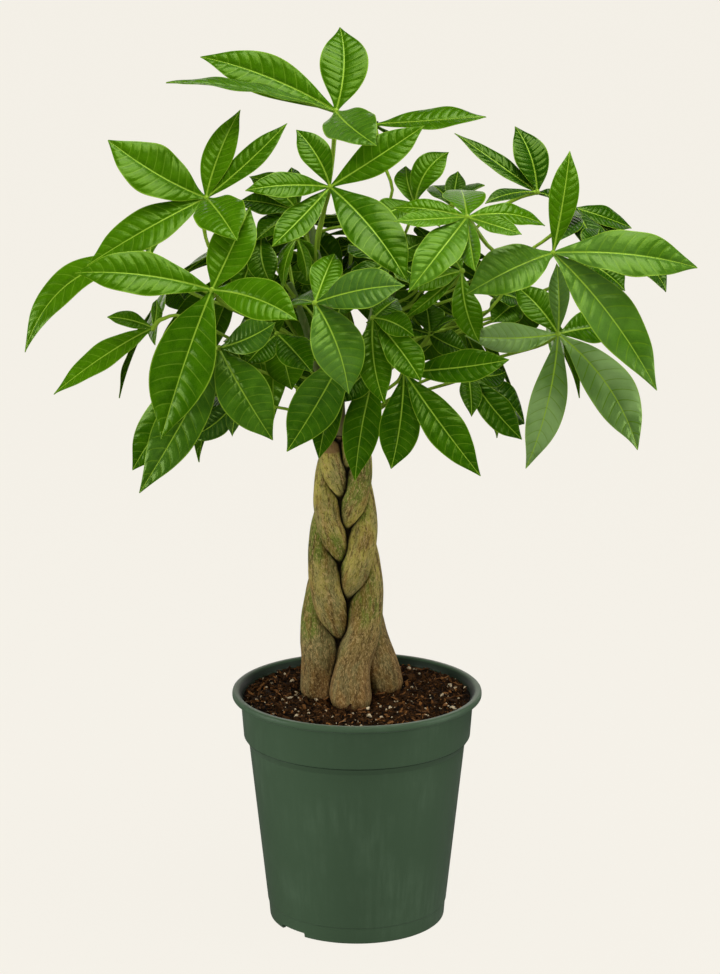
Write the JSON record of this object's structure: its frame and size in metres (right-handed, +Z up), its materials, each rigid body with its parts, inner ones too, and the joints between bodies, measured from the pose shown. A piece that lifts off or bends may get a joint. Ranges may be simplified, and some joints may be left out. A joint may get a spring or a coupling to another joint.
{
  "type": "potted money tree",
  "caption": "Braided money tree in a nursery pot: a plaited trunk rooted in bark potting mix carries a spreading crown of glossy palmate leaves.",
  "frame": {"origin": "middle of the pot's foot, on the surface that it stands on", "axes": "+Z up along the pot's axis, -Y to the front of the picture's view, +X to the viewer's right"},
  "size_m": [0.425, 0.3006, 0.5889],
  "materials": {
    "pot": "satin",
    "mix": "matte",
    "stem": "matte",
    "shoot": "satin",
    "leaf": "satin"
  },
  "bodies": {
    "root": {"pot": "pot", "potting_mix": "mix", "trunk_stem_1": "stem", "trunk_stem_2": "stem", "trunk_stem_3": "stem", "trunk_stem_4": "stem", "trunk_stem_5": "stem", "green_shoot_1": "shoot", "green_shoot_2": "shoot", "green_shoot_3": "shoot", "green_shoot_4": "shoot", "green_shoot_5": "shoot", "leaf_01": "leaf", "leaf_02": "leaf", "leaf_03": "leaf", "leaf_04": "leaf", "leaf_05": "leaf", "leaf_06": "leaf", "leaf_07": "leaf", "leaf_08": "leaf", "leaf_09": "leaf", "leaf_10": "leaf", "leaf_11": "leaf", "leaf_12": "leaf", "leaf_13": "leaf", "leaf_14": "leaf", "leaf_15": "leaf", "leaf_16": "leaf", "leaf_17": "leaf", "leaf_18": "leaf", "leaf_19": "leaf", "leaf_20": "leaf", "leaf_21": "leaf", "leaf_22": "leaf", "leaf_23": "leaf", "leaf_24": "leaf", "leaf_25": "leaf", "leaf_26": "leaf", "leaf_27": "leaf", "leaf_28": "leaf", "leaf_29": "leaf", "leaf_30": "leaf", "leaf_31": "leaf", "leaf_32": "leaf", "leaf_33": "leaf", "leaf_34": "leaf", "leaf_35": "leaf", "leaf_36": "leaf", "leaf_37": "leaf", "leaf_38": "leaf", "leaf_39": "leaf", "leaf_40": "leaf", "leaf_41": "leaf", "leaf_42": "leaf", "leaf_43": "leaf", "leaf_44": "leaf", "leaf_45": "leaf"}
  },
  "joints": []
}
